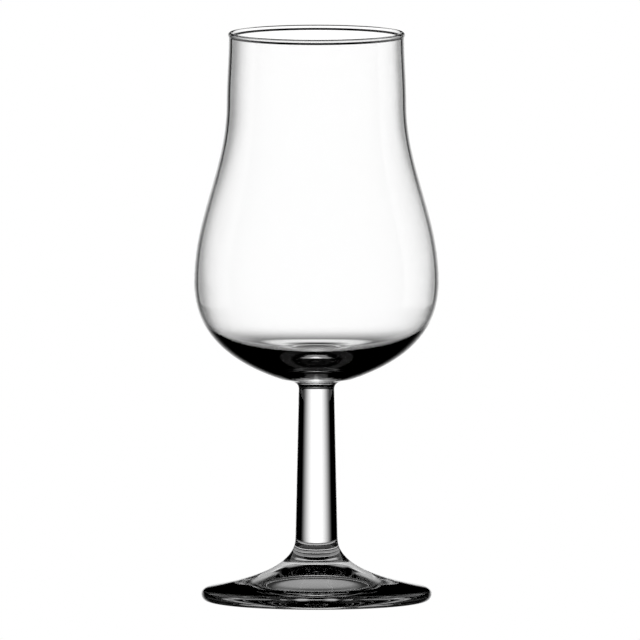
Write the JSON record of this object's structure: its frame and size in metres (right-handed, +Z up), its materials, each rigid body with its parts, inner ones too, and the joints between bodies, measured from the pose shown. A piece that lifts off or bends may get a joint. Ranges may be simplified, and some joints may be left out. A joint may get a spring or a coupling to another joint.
{
  "type": "whisky nosing glass",
  "caption": "Stemmed nosing glass with a tulip bowl, beaded rim, solid stem and round pressed foot, for smelling and tasting spirits.",
  "frame": {"origin": "centre of the circle that the foot stands on", "axes": "+Z up along the axis of the glass, from the foot towards the rim; the glass is round, so +X and +Y are free"},
  "size_m": [0.0665, 0.0664, 0.155],
  "materials": {
    "blown_glass": "clear, blown, fire-polished at the rim",
    "drawn_glass": "clear, solid, fire-finished",
    "pressed_glass": "clear, pressed, slightly wavy"
  },
  "bodies": {
    "root": {"bowl": "blown_glass", "stem": "drawn_glass", "foot": "pressed_glass"}
  },
  "joints": []
}
